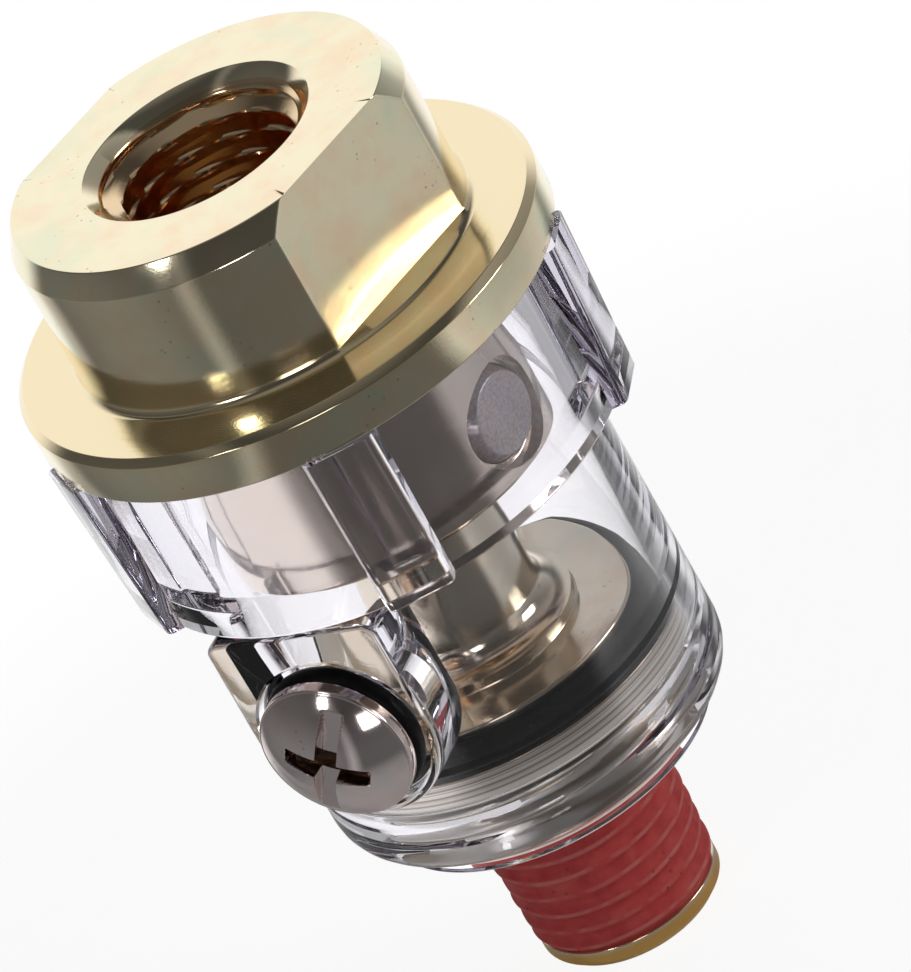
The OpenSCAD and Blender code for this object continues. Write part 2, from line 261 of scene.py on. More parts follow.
def lofted_piece(name, rings):
    """Joins closed rings of points, level by level, with quads and closes both ends with one flat face."""
    levels, around = rings.shape[:2]
    index = np.arange(levels * around).reshape(levels, around)
    faces = grid_faces(index).tolist() + [index[0, ::-1].tolist(), index[-1].tolist()]
    mesh = bpy.data.meshes.new(name)
    mesh.from_pydata((rings.reshape(-1, 3) * MM).tolist(), [], faces)
    return add_object(name, mesh)


def combine(piece, tool, operation):
    """Joins the piece with a second closed mesh or cuts that away, and removes the second one."""
    boolean = piece.modifiers.new("combine", "BOOLEAN")
    boolean.object, boolean.operation, boolean.solver = tool, operation, "MANIFOLD"
    evaluated = piece.evaluated_get(bpy.context.evaluated_depsgraph_get())
    piece.data = bpy.data.meshes.new_from_object(evaluated)
    piece.modifiers.clear()
    bpy.data.objects.remove(tool)


def keep_attribute(piece, name, values):
    """Keeps one number for each point of a piece, for its finish to read."""
    layer = piece.data.attributes.new(name, "FLOAT", "POINT")
    layer.data.foreach_set("value", np.asarray(values, np.float32).ravel())


def dress(piece, finish):
    """Gives the whole piece one material."""
    piece.data.materials.clear()
    piece.data.materials.append(finish)
    piece.data.polygons.foreach_set("material_index", np.zeros(len(piece.data.polygons), np.int32))


def finish_piece(piece, node):
    """Shades the piece smoothly up to its sharp edges, and lets it stand for its node on that node's body."""
    piece.data.shade_smooth()
    piece.data.set_sharp_from_angle(angle=SHARP_ANGLE)
    bodies = frame["record"]["behaviour"]["bodies"]
    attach(piece, next(body for body, nodes in bodies.items() if node in nodes))
    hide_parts(node)
    print(piece.name, "has", sum(len(face.vertices) - 2 for face in piece.data.polygons), "triangles")


def on_filler_axis(points):
    """Turns points that lie along +Z so that they lie along -Y, at the height of the filler."""
    return np.stack([points[..., 0], -points[..., 2], points[..., 1] + filler_z], axis=-1)


# %% [markdown]
# ## The pipe thread
# Both ends carry a tapered pipe thread of 18 turns an inch. A thread is a ridge that climbs one pitch each
# turn: at any point of the wall, height / pitch less angle / turn says where in the ridge the point lies.
# A texture could only fake that, so the ridge moves the points of the grid themselves.

# %% Thread ridge
THREAD_PITCH = 25.4 / 18
THREAD_TAPER = 1 / 32
RIDGE_STRETCH, RIDGE_CLIP = 1.3, 0.15


def thread_ridge(height, angle, pitch=THREAD_PITCH):
    """From 0 at the root to 1 at the crest of a right-hand thread: a triangle wave of the point's place in
    the pitch, stretched and clipped so that root and crest are narrow flats."""
    place = (height / pitch - angle / (2 * np.pi)) % 1
    return np.clip(RIDGE_STRETCH * (1 - np.abs(2 * place - 1)) - RIDGE_CLIP, 0, 1)


def fade(value, start, end):
    """A smooth step from 0 at start to 1 at end."""
    share = np.clip((value - start) / (end - start), 0, 1)
    return share * share * (3 - 2 * share)


print("pitch", round(THREAD_PITCH, 3), "mm")

# %% [markdown]
# ## Inlet head
# The head is one turned piece of plated steel: a spigot that hangs in the bowl, a flange, a body with two
# wrench flats and a threaded mouth. It is a closed ring of outline points, spun round the axis.
# A flat is where the radius is the smaller of the turned radius and half-width / cos(angle). The columns
# gather so that one always runs along each corner of a flat, which keeps those edges clean.

# %% Head outline
FLANGE_T, FLANGE_BEVEL, FLANGE_FALL = 3.1, 0.45, 0.12
HEAD_R, HEAD_FILLET = 13, 0.6
BEVEL_W, BEVEL_H = 0.75, 1.6
WRENCH_HALF, FLAT_RISE, FLAT_ANGLE = 11.3, 0.4, math.radians(-16)
SPIGOT_R, SPIGOT_BEVEL = 11, 0.4
PASSAGE_R, SOCKET_R, SOCKET_TOP = 3, 4.35, 0.05
MOUTH_W, DRILL_HALF = 0.75, math.radians(59)
THREAD_DEPTH, THREAD_START, THREAD_RUNOUT = 1.05, 0.9, 2.5
head_z = flange_z + FLANGE_T
mouth_z = top_z - MOUTH_W
inlet_end_z = mouth_z - inlet_len
cone_z = inlet_end_z - (inlet_r - PASSAGE_R) / math.tan(DRILL_HALF)


def head_outline():
    """Radius and height round the head's section: up its outside, in over the top, and down the air way."""
    return rounded_outline([
        (SOCKET_R, spigot_z, 0),
        (SPIGOT_R - SPIGOT_BEVEL, spigot_z, 0.08),
        (SPIGOT_R, spigot_z + SPIGOT_BEVEL, 0.12),
        (SPIGOT_R, flange_z, 0),
        (flange_r, flange_z, 0.12),
        (flange_r, head_z - FLANGE_BEVEL, 0.12),
        (flange_r - FLANGE_BEVEL, head_z, 0.12),
        (HEAD_R, head_z + FLANGE_FALL, HEAD_FILLET),
        (HEAD_R, top_z - BEVEL_H, 0.3),
        (HEAD_R - BEVEL_W, top_z, 0.12),
        (inlet_r + MOUTH_W, top_z, 0.1),
        (inlet_r, mouth_z, 0),
        (inlet_r, inlet_end_z, 0),
        (PASSAGE_R, cone_z, 0),
        (PASSAGE_R, neck_top_z + SOCKET_TOP, 0),
        (SOCKET_R, neck_top_z + SOCKET_TOP, 0),
    ])


head_rows = finer(finer(head_outline(), 0.12, wall=inlet_r), 1.6)
print("head outline:", len(head_rows), "points")

# %% Head surface
FLAT_COLUMNS, CURVE_COLUMNS = 36, 118
CORNER_BLUR, LEAST_COS = 0.03, 0.2


def flat_columns(corner_angle):
    """Angles from the middle of a flat, row by row, for one full turn. Each half turn has columns across a
    flat, crowded towards its corners, and then columns round the curve to the next flat."""
    across = np.sin(np.linspace(-1, 1, FLAT_COLUMNS, endpoint=False) * np.pi / 2)
    around = (1 - np.cos(np.arange(CURVE_COLUMNS) / CURVE_COLUMNS * np.pi)) / 2
    half_turn = np.hstack([corner_angle * across, corner_angle + (np.pi - 2 * corner_angle) * around])
    return np.hstack([half_turn, half_turn + np.pi])


def smaller(a, b, blur):
    """The smaller of two values, with a rounded corner between them:
    -blur log(exp(-a/blur) + exp(-b/blur))."""
    return np.minimum(a, b) - blur * np.log1p(np.exp(-np.abs(a - b) / blur))


def head_surface(rows):
    """Turns the outline, cuts the flats by radius = half-width / |cos(angle)|, and moves the bore's wall in
    by the thread, which gets shallower at both of its ends and narrower with the pipe taper."""
    radius, height = rows[:, :1], rows[:, 1:]
    milled = (height > head_z + FLAT_RISE) & (radius > WRENCH_HALF)
    reach = np.where(milled, radius, np.where(height > head_z + FLAT_RISE, HEAD_R - BEVEL_W, HEAD_R))
    angle = flat_columns(np.arccos(WRENCH_HALF / reach))
    flat = WRENCH_HALF / np.maximum(np.abs(np.cos(angle)), LEAST_COS)
    cut = np.where(milled, smaller(radius, flat, CORNER_BLUR), radius)
    angle = angle + FLAT_ANGLE
    depth = mouth_z - height
    threaded = np.isclose(radius, inlet_r) & (depth > 0)
    strength = fade(depth, 0, THREAD_START) * fade(inlet_len - depth, 0, THREAD_RUNOUT)
    inward = strength * (THREAD_DEPTH * thread_ridge(height, angle) + THREAD_TAPER * depth)
    return turned(cut - np.where(threaded, inward, 0), height, angle)


head = grid_piece("head", head_surface(head_rows))
print("head grid:", head_rows.shape[0], "by", 2 * (FLAT_COLUMNS + CURVE_COLUMNS))

# %% [markdown]
# ### Side hole of the metering plug
# A stepped hole is bored into the side of the spigot for the porous plug, with an open ring round the face of
# the plug. It crosses the turned surface at a right angle, so it is a second turned shape, laid on its side
# and cut away.

# %% Side hole
PLUG_R, PLUG_FACE_R, PLUG_GAP, PLUG_RING = 2.9, 2.45, 0.05, 0.42
PLUG_FACE, PLUG_LEN, PLUG_SIDE, PLUG_RING_DEPTH = 10.75, 3.6, 0.8, 1
PLUG_Z, PLUG_ANGLE = spigot_z + 3.9, math.radians(-8.5)
PORT_R, PORT_LEN = 0.9, 3


def on_plug_axis(points):
    """Turns points that lie along +Z so that they point outwards at the plug, level, at its height."""
    outward, across, upright = points[..., 2], points[..., 1], -points[..., 0]
    x, y = swung(outward, across, PLUG_ANGLE)
    return np.stack([x, y, upright + PLUG_Z], axis=-1)


def spindle(corners, columns, longest, place):
    """A closed solid of revolution: an outline that starts and ends on its axis, turned and then placed."""
    rows = finer(rounded_outline(corners), longest)
    last = int(np.flatnonzero(rows[:, 0] == 0)[1])
    rows = rows[:last + 1]
    return place(turned(rows[:, :1], rows[:, 1:], full_turn(columns)))


hole_points = spindle([
    (0, PLUG_FACE - PLUG_LEN - PORT_LEN, 0),
    (PORT_R, PLUG_FACE - PLUG_LEN - PORT_LEN, 0),
    (PORT_R, PLUG_FACE - PLUG_LEN, 0),
    (PLUG_R + PLUG_GAP, PLUG_FACE - PLUG_LEN, 0),
    (PLUG_R + PLUG_GAP, SPIGOT_R - PLUG_RING_DEPTH, 0),
    (PLUG_R + PLUG_RING, SPIGOT_R - PLUG_RING_DEPTH, 0.1),
    (PLUG_R + PLUG_RING, SPIGOT_R + 1, 0),
    (0, SPIGOT_R + 1, 0),
], 120, 2, on_plug_axis)
combine(head, grid_piece("plug_hole", hole_points, ring=False), "DIFFERENCE")
finish_piece(head, "inlet_head")

# %% [markdown]
# ## Bowl
# The bowl is moulded in clear plastic. What the eye reads is the light bent at every wall, so its inside and
# outside have to be true surfaces of a closed body: a turned outside, five grip ribs and the filler boss
# joined to it, then the bore and the filler hole cut out. Small rounds on the edges catch the light.

# %% Bowl sizes
BORE_R, BORE_TOP_R, FLOOR_HOLE_R = 11.6, 12.4, 9.8
BOWL_R, BAND_R, LIP_R, LIP_H = 13.4, 16.1, 11.3, 1.3
BAND_H, FLOOR_T, SEAL_LAND = 11.7, 5.8, 10.15
RIB_COUNT, RIB_W, RIB_OUT, RIB_DRAFT, RIB_SLANT, RIB_ROUND = 5, 4.9, 1.4, 0.6, 0.35, 0.5
RIB_FIRST, RIB_ROOT, RIB_END = math.radians(-57), 1.3, 0.2
BOSS_Y, BOSS_HALF, BOSS_ROUND, BOSS_EDGE, BOSS_ROOT = 16, 6.1, 1, 0.3, 3
SEAT_R, SEAT_DEPTH, FILLER_R = 5.5, 1.1, 3.05
RIM_GAP = 0.02
BOWL_COLUMNS = 300
band_z = flange_z - BAND_H
rim_z = flange_z - RIM_GAP
past = 1


# %% Bowl outside
def inset(outline, depth):
    """Moves each point of a closed outline inwards along the normal of its neighbours' chord."""
    chord = unit(np.roll(outline, -1, axis=0) - np.roll(outline, 1, axis=0))
    return outline + depth * np.stack([-chord[:, 1], chord[:, 0]], axis=1)


def rib_rings(angle):
    """Rings of a grip rib from the bottom of the band up. Its section is a bar with slanted sides and rounded
    edges; it leans in towards its bottom, where a small round takes the edge off."""
    half = RIB_W / 2
    outer = BAND_R + RIB_OUT
    inner = BAND_R - RIB_ROOT
    section = rounded_outline([
        (inner, -half, 0),
        (BAND_R - 0.2, -half, 0),
        (outer, RIB_SLANT - half, RIB_ROUND),
        (outer, half - RIB_SLANT, RIB_ROUND),
        (BAND_R - 0.2, half, 0),
        (inner, half, 0),
    ])
    turn = np.linspace(0, np.pi / 2, 4)
    depths = np.append(RIB_END * (1 - np.sin(turn)), 0)
    heights = np.append(band_z + RIB_END * (1 - np.cos(turn)), rim_z)
    sections = np.stack([inset(section, depth) for depth in depths])
    lean = -RIB_DRAFT * (flange_z - heights) / BAND_H
    across, aside = sections[..., 0] + lean[:, None], sections[..., 1]
    x, y = swung(across, aside, angle)
    return np.stack([x, y, np.broadcast_to(heights[:, None], x.shape)], axis=-1)


def boss_rings():
    """Rings of the filler boss from inside the bore outwards: round below the filler, square up to the band,
    with a quarter round at the front edge."""
    boss_h = band_z - filler_z
    section = rounded_outline([
        (BOSS_HALF, -BOSS_HALF, BOSS_HALF),
        (BOSS_HALF, boss_h, BOSS_ROUND),
        (-BOSS_HALF, boss_h, BOSS_ROUND),
        (-BOSS_HALF, -BOSS_HALF, BOSS_HALF),
    ], steps=25)
    turn = np.linspace(0, np.pi / 2, 6)
    depths = np.append(0, BOSS_EDGE * (1 - np.cos(turn)))
    reach = np.append(BORE_R - BOSS_ROOT, BOSS_Y - BOSS_EDGE * (1 - np.sin(turn)))
    sections = np.stack([inset(section, depth) for depth in depths])
    along = np.broadcast_to(reach[:, None], sections.shape[:2])
    return on_filler_axis(np.concatenate([sections, along[..., None]], axis=-1))


bowl_points = spindle([
    (0, bowl_z, 0),
    (LIP_R, bowl_z, 0.25),
    (LIP_R, bowl_z + LIP_H, 0),
    (BOWL_R, bowl_z + LIP_H, BOWL_R - LIP_R),
    (BOWL_R, band_z, 0.15),
    (BAND_R, band_z, 0.25),
    (BAND_R, rim_z, 0.1),
    (0, rim_z, 0),
], BOWL_COLUMNS, 2.5, lambda points: points)
bowl = grid_piece("clear_bowl", bowl_points, ring=False)
combine(bowl, lofted_piece("boss", boss_rings()), "UNION")
for number in range(RIB_COUNT):
    rib_angle = RIB_FIRST + number * 2 * math.pi / RIB_COUNT
    combine(bowl, lofted_piece("rib", rib_rings(rib_angle)), "UNION")
print("bowl outside:", len(bowl.data.polygons), "faces")

# %% Bowl inside
FLOOR_RIDGE = 0.22


def floor_thread(points):
    """Moves the wall of the hole in the floor outwards by a thread that fades out at both of its ends."""
    x, y, height = points[..., 0], points[..., 1], points[..., 2]
    strength = fade(height, bowl_z + 0.5, bowl_z + 1) * fade(bowl_z + FLOOR_T - height, 0.3, 0.8)
    on_wall = np.isclose(np.hypot(x, y), FLOOR_HOLE_R)
    ridge = FLOOR_RIDGE * strength * thread_ridge(height, np.arctan2(y, x)) * on_wall
    grow = 1 + ridge / FLOOR_HOLE_R
    return points * np.stack([grow, grow, np.ones_like(grow)], axis=-1)


bore_points = spindle([
    (0, bowl_z - past, 0),
    (FLOOR_HOLE_R + 0.2, bowl_z - past, 0),
    (FLOOR_HOLE_R + 0.2, bowl_z, 0),
    (FLOOR_HOLE_R, bowl_z + 0.4, 0),
    (FLOOR_HOLE_R, bowl_z + FLOOR_T, 0),
    (BORE_R, bowl_z + FLOOR_T, 0.3),
    (BORE_R, SEAL_LAND, 0.5),
    (BORE_TOP_R, rim_z - 0.3, 0),
    (BORE_TOP_R + 0.3, rim_z, 0),
    (BORE_TOP_R + 0.3, rim_z + past, 0),
    (0, rim_z + past, 0),
], BOWL_COLUMNS, 0.3, floor_thread)
seat_points = spindle([
    (0, BORE_R - 4, 0),
    (FILLER_R, BORE_R - 4, 0),
    (FILLER_R, BOSS_Y - SEAT_DEPTH, 0),
    (SEAT_R, BOSS_Y - SEAT_DEPTH, 0.2),
    (SEAT_R, BOSS_Y - 0.15, 0),
    (SEAT_R + 0.15, BOSS_Y, 0),
    (SEAT_R + 0.15, BOSS_Y + past, 0),
    (0, BOSS_Y + past, 0),
], 144, 2, on_filler_axis)
combine(bowl, grid_piece("bore", bore_points, ring=False), "DIFFERENCE")
combine(bowl, grid_piece("filler_seat", seat_points, ring=False), "DIFFERENCE")
finish_piece(bowl, "bowl")

# %% [markdown]
# ## Outlet stem
# One more turned piece: outlet, threaded base, seal groove, disc, a swept collar and the stem itself, drilled
# through. Its base is seen through the clear floor as bright streaks, which come from the ridges of the
# thread there, so those ridges are modelled as well.

# %% Stem
STEM_R, NECK_R, COLLAR_R, COLLAR_H, SWEEP = 5.1, 4.3, 6.8, 0.7, 1.7
DISC_R, DISC_T, BASE_T, GROOVE_R = 10.2, 0.65, 2.1, 9.1
BASE_ROOT_R, BASE_RIDGE = 9.2, 0.4
OUTLET_TIP_R, OUTLET_ROOT_R, OUTLET_TOP_R, OUTLET_BEVEL = 6.15, 5.7, 6.05, 0.6
STEM_COLUMNS = 240
floor_z = bowl_z + FLOOR_T
groove_z = floor_z + BASE_T
disc_top_z = SEAL_LAND
disc_z = disc_top_z - DISC_T
sealant_z = sealant_low[2]
stem_outline = rounded_outline([
    (PASSAGE_R, outlet_z, 0.15),
    (OUTLET_TIP_R - OUTLET_BEVEL, outlet_z, 0.25),
    (OUTLET_TIP_R, outlet_z + OUTLET_BEVEL, 0.3),
    (OUTLET_TIP_R, sealant_z - 0.05, 0.1),
    (OUTLET_ROOT_R, sealant_z + 0.1, 0),
    (OUTLET_TOP_R, bowl_z, 0),
    (BASE_ROOT_R, bowl_z, 0.15),
    (BASE_ROOT_R, floor_z, 0),
    (plate_r, floor_z, 0.1),
    (plate_r, groove_z, 0.1),
    (GROOVE_R, groove_z, 0.2),
    (GROOVE_R, disc_z, 0.2),
    (DISC_R, disc_z, 0.08),
    (DISC_R, disc_top_z, 0.15),
    (COLLAR_R, disc_top_z, 0.1),
    (COLLAR_R, disc_top_z + COLLAR_H, 0),
    (STEM_R, disc_top_z + COLLAR_H, SWEEP - 0.05),
    (STEM_R, spigot_z, 0),
    (NECK_R, spigot_z, 0),
    (NECK_R, neck_top_z, 0.2),
    (PASSAGE_R, neck_top_z, 0),
], steps=12)
stem_rows = finer(finer(stem_outline, 0.12, wall=BASE_ROOT_R), 1.2)


def stem_surface(rows, angle):
    """Turns the outline and lifts the wall of the base by a thread that fades out at both of its ends."""
    radius, height = rows[:, :1], rows[:, 1:]
    on_base = np.isclose(radius, BASE_ROOT_R)
    strength = fade(height, bowl_z, bowl_z + 0.5) * fade(floor_z - height, 0, 0.5)
    ridge = np.where(on_base, BASE_RIDGE * strength * thread_ridge(height, angle), 0)
    return turned(radius + ridge, height, angle)


stem = grid_piece("stem", stem_surface(stem_rows, full_turn(STEM_COLUMNS)))
finish_piece(stem, "outlet_stem")

# %% [markdown]
# ## Sealant on the outlet thread
# The tapered male thread is coated with dried red sealant, which fills its valleys, so the ridges are low and
# soft. The sleeve is a ring of outline points whose outer wall follows the thread. How high each point stands
# in the ridge is kept as an attribute, because the paint is rubbed paler along the crests.

# %% Sealant
SEALANT_RIDGE, SEALANT_COLUMNS = 0.2, 240
SEALANT_SLACK, SEALANT_UNEVEN, SEALANT_END, SEALANT_UNDER = 0.07, 0.03, 0.25, 0.15


def sealant_surface(rows, angle):
    """Outer wall: crest radius, less the taper, less the valley between the ridges and a slow unevenness.
    Inner wall: just under the metal's surface."""
    height, outer = rows[:, 1:], rows[:, :1] > 0
    ridge = thread_ridge(height, angle)
    soft = ridge * ridge * (3 - 2 * ridge)
    uneven = SEALANT_UNEVEN * (np.sin(3 * angle + height) + np.sin(7 * angle - 2.3 * height))
    end = fade(height, sealant_z, sealant_z + 0.5)
    wall = sealant_r - SEALANT_SLACK - THREAD_TAPER * (bowl_z - height)
    valley = SEALANT_RIDGE * (1 - soft)
    outside = wall - valley + uneven * soft - SEALANT_END * (1 - end)
    inside = OUTLET_TOP_R - SEALANT_UNDER - THREAD_TAPER * (bowl_z - height)
    return turned(np.where(outer, outside, inside), height, angle), np.where(outer, soft, 0)


outer_heights = np.linspace(sealant_z, bowl_z - 0.02, 116)
sealant_rows = np.vstack([
    np.stack([np.ones_like(outer_heights), outer_heights], axis=1),
    np.stack([-np.ones(2), outer_heights[[-1, 0]]], axis=1),
])
sealant_points, crest = sealant_surface(sealant_rows, full_turn(SEALANT_COLUMNS))
sealant = grid_piece("sealant", sealant_points)
keep_attribute(sealant, "crest", crest)
finish_piece(sealant, "thread_sealant")

# %% [markdown]
# ## Seals
# An O-ring is a torus, but in its groove it is squeezed: its section is a circle flattened where it touches.
# A superellipse, |x|^n + |y|^n = 1 with n a little over 2, gives that swollen, flat-sided section.
# The base seal presses a hair into the wall of the bowl: where rubber wets clear plastic no gap is left to
# reflect light, and the seal looks black right out to the edge of the bowl.

# %% Seals
SEAL_COLUMNS, SEAL_ROWS, SQUEEZE_POWER = 200, 40, 2.6
BASE_SEAL_PRESS = 0.03


def seal_points(middle_r, half_width, half_height, height):
    """A ring whose section is a superellipse: signed powers of cosine and sine, turned round the axis."""
    around = full_turn(SEAL_ROWS)[:, None]
    across = np.sign(np.cos(around)) * np.abs(np.cos(around)) ** (2 / SQUEEZE_POWER)
    along = np.sign(np.sin(around)) * np.abs(np.sin(around)) ** (2 / SQUEEZE_POWER)
    return turned(middle_r + half_width * across, height + half_height * along, full_turn(SEAL_COLUMNS))


base_half = (base_seal_r + BASE_SEAL_PRESS - GROOVE_R) / 2
base_seal = grid_piece("base_seal", seal_points(
    GROOVE_R + base_half, base_half, (disc_z - groove_z) / 2, (disc_z + groove_z) / 2,
))
finish_piece(base_seal, "base_o_ring")
SCREW_SEAL_R, SCREW_SEAL_HALF = 4.05, 1
seal_from, seal_to = -screw_seal_high[1], -screw_seal_low[1]
screw_seal = grid_piece("screw_seal", on_filler_axis(seal_points(
    SCREW_SEAL_R, SCREW_SEAL_HALF, (seal_to - seal_from) / 2, (seal_to + seal_from) / 2,
)))
finish_piece(screw_seal, "fill_screw_o_ring")

# %% [markdown]
# ## Metering plug
# A disc of sintered metal, pressed into the side of the spigot until its face lies just below the surface.
# It is a short turned body with a sloping shoulder and a slightly crowned face, laid on the plug's axis.

# %% Plug
plug_points = spindle([
    (0, PLUG_FACE - PLUG_LEN, 0),
    (PLUG_R, PLUG_FACE - PLUG_LEN, 0.2),
    (PLUG_R, PLUG_FACE - PLUG_SIDE, 0.1),
    (PLUG_FACE_R, PLUG_FACE - 0.06, 0.15),
    (0, PLUG_FACE, 0),
], 120, 0.25, on_plug_axis)
plug = grid_piece("plug", plug_points, ring=False)
finish_piece(plug, "metering_plug")

# %% [markdown]
# ## Fill screw
# The dome is stamped with a straight slot and a cross, so either driver fits. A Boolean cut would leave knife
# edges, while the real plated edges are soft. So the head is one fine grid in which the recess lowers the
# dome: each recess is a smooth step of the distance from its walls, and the deeper one wins. The walls and
# the cross get painted shade, kept as an attribute for the finish to darken them.

# %% Screw
SCREW_R, SCREW_RIM, SCREW_DOME = 3, 0.8, 1.9
SLOT_HALF, SLOT_DEPTH = 0.625, 1.2
CROSS_LEN, CROSS_HALF, CROSS_DEPTH = 5.2, 0.6, 2.2
CROSS_FLARE, CROSS_NARROWING, CROSS_SLOPE = 1.12, 0.1, 0.35
RECESS_WALL, SLOT_TURN = 0.14, math.radians(28.7)
SCREW_PITCH, SCREW_RIDGE, SCREW_EDGE, SCREW_COLUMNS = 1, 0.45, 0.15, 360
# Painted shade in the recess: how strongly the slot's walls are darkened, and the radius inside which it is
# full before it fades towards the rim.
RECESS_SHADE_WALLS, RECESS_SHADE_REACH = 2.4, 3.5
screw_rim_y = screw_top_y - SCREW_DOME
screw_under_y = screw_rim_y - SCREW_RIM
dome_ball_r = (screw_head_r ** 2 + SCREW_DOME ** 2) / (2 * SCREW_DOME)


def recesses(x, y):
    """How much of the slot there is at a point, from 0 to 1, and the depth of the cross below the dome, which
    slopes up towards the ends of its bar."""
    slot = fade(SLOT_HALF - np.abs(x), -RECESS_WALL / 2, RECESS_WALL / 2)
    reach, width = np.abs(x), np.abs(y)
    taper = CROSS_HALF * (CROSS_FLARE - CROSS_NARROWING * reach)
    ends = fade(CROSS_LEN / 2 - reach, -RECESS_WALL, RECESS_WALL)
    cross = fade(taper - width, -RECESS_WALL / 2, RECESS_WALL / 2) * ends
    return slot, cross * (CROSS_DEPTH - CROSS_SLOPE * reach)


def screw_head_surface(angle):
    """Rows from the middle of the dome out to its rim: the cap of a ball, lowered to the deeper recess.
    Painted shade goes with it, from 0 to 1: highest in the cross and on the slot's walls, fading out towards
    the rim."""
    radius = np.linspace(0, screw_head_r - SCREW_EDGE, 118)[:, None]
    x, y = radius * np.cos(angle), radius * np.sin(angle)
    dome = screw_top_y - dome_ball_r + np.sqrt(dome_ball_r ** 2 - radius ** 2)
    slot, cross = recesses(*swung(x, y, SLOT_TURN))
    slot_floor = screw_top_y - SLOT_DEPTH
    slotted = dome + slot * np.minimum(slot_floor - dome, 0)
    grime = np.clip(np.maximum(RECESS_SHADE_WALLS * slot * (1 - slot), cross), 0, 1)
    near_middle = fade(radius, screw_head_r, RECESS_SHADE_REACH)
    return turned(radius, np.minimum(slotted, dome - cross), angle), grime * near_middle


def screw_shank_surface(angle):
    """Rows from the rim down under the head and along the threaded shank to the middle of its tip."""
    edge = screw_head_r - SCREW_EDGE
    edge_y = screw_top_y - dome_ball_r + math.sqrt(dome_ball_r ** 2 - edge ** 2)
    arc = np.linspace(0, np.pi / 2, 6)[1:]
    rim = np.stack([edge + SCREW_EDGE * np.sin(arc), edge_y - SCREW_EDGE * (1 - np.cos(arc))], axis=1)
    under = np.array([
        [screw_head_r, screw_under_y + 0.1],
        [screw_head_r - 0.1, screw_under_y],
        [SCREW_R, screw_under_y],
    ])
    along = np.arange(screw_under_y - 0.1, screw_tip_y + 0.3, -0.08)
    shank = np.stack([np.full_like(along, SCREW_R), along], axis=1)
    tip = np.array([[SCREW_R - 0.5, screw_tip_y], [0, screw_tip_y]])
    rows = np.vstack([rim, under, shank, tip])
    radius, height = rows[:, :1], rows[:, 1:]
    cut = np.isclose(radius, SCREW_R) * fade(screw_under_y - height, 0.6, 1.2)
    return turned(radius - SCREW_RIDGE * cut * (1 - thread_ridge(height, angle, SCREW_PITCH)), height, angle)


screw_angles = full_turn(SCREW_COLUMNS)
screw_top, grime = screw_head_surface(screw_angles)
screw_points = np.vstack([screw_top, screw_shank_surface(screw_angles)])
screw = grid_piece("screw", on_filler_axis(screw_points[::-1]), ring=False)
screw_recess_shade = np.zeros(len(screw.data.vertices), np.float32)
screw_recess_shade[len(screw_recess_shade) - grime[1:].size - 1:] = np.append(grime[:0:-1], grime[0, 0])
keep_attribute(screw, "grime", screw_recess_shade)
finish_piece(screw, "fill_screw")

# %% [markdown]
# ## Effects that several finishes share
# A node group is a small machine with named inputs and outputs: built once, placed in many materials, and set
# differently in each. Plating is never one even colour. It clouds from gold to rose and green, carries the
# fine rings of the lathe, and shows small specks. Each of these is one group that gives a colour, a mask or
# a height, and the shader itself stays in the material.

# %% Node helpers
UPWARD = (0, 0, 1)
FLOAT, COLOR, VECTOR = "NodeSocketFloat", "NodeSocketColor", "NodeSocketVector"


def feed(tree, socket, value):
    """Gives an input its value: a link from another socket, or a plain number, colour or vector."""
    if isinstance(value, bpy.types.NodeSocket):
        tree.links.new(value, socket)
    else:
        socket.default_value = value


def add_node(tree, kind, sockets=None, **settings):
    """Adds a node, sets its own settings by name, and feeds its input sockets."""
    node = tree.nodes.new(kind)
    for name, value in settings.items():
        setattr(node, name, value)
    for name, value in (sockets or {}).items():
        feed(tree, node.inputs[name], value)
    return node


def calc(tree, operation, first, second, clamp=False):
    """A sum of two values, each a socket or a number."""
    node = add_node(tree, "ShaderNodeMath", {0: first, 1: second}, operation=operation, use_clamp=clamp)
    return node.outputs[0]


def ranged(tree, value, old=(0.0, 1.0), new=(0.0, 1.0), bend="LINEAR"):
    """Carries a value from the old range over to the new one, and holds it at the ends of that."""
    titles = ("Value", "From Min", "From Max", "To Min", "To Max")
    sockets = dict(zip(titles, (value, *old, *new)))
    return add_node(tree, "ShaderNodeMapRange", sockets, interpolation_type=bend).outputs[0]


def blend(tree, factor, first, second):
    """A mix of two values by a mask."""
    return add_node(tree, "ShaderNodeMix", {"Factor": factor, "A": first, "B": second}).outputs[0]


def mixed(tree, factor, first, second):
    """A mix of two colours by a mask."""
    sockets = {"Factor": factor, 6: first, 7: second}
    return add_node(tree, "ShaderNodeMix", sockets, data_type="RGBA").outputs[2]


def reach_along(tree, place, axis):
    """How far a point lies along an axis."""
    sockets = {0: place, 1: axis}
    return add_node(tree, "ShaderNodeVectorMath", sockets, operation="DOT_PRODUCT").outputs["Value"]


def length_of(tree, place):
    """Distance of a point from the origin."""
    return add_node(tree, "ShaderNodeVectorMath", {0: place}, operation="LENGTH").outputs["Value"]


def axis_distance(tree, place):
    """Distance of a point from the Z axis: the length of the point with its height set to 0."""
    level = add_node(tree, "ShaderNodeVectorMath", {0: place, 1: (1, 1, 0)}, operation="MULTIPLY")
    return length_of(tree, level.outputs[0])


def object_place(tree):
    """The point of the surface, in the object's own coordinates."""
    return add_node(tree, "ShaderNodeTexCoord").outputs["Object"]


def new_group(name, inputs, outputs):
    """An empty shader group with these sockets, as (name, socket type, value) and (name, socket type)."""
    tree = bpy.data.node_groups.new(name, "ShaderNodeTree")
    for title, kind, value in inputs:
        socket = tree.interface.new_socket(title, in_out="INPUT", socket_type=kind)
        if value is not None:
            socket.default_value = value
    for title, kind in outputs:
        tree.interface.new_socket(title, in_out="OUTPUT", socket_type=kind)
    return tree, add_node(tree, "NodeGroupInput").outputs, add_node(tree, "NodeGroupOutput").inputs


# %% Clouds in the plating
COOL_SCALE = 0.43


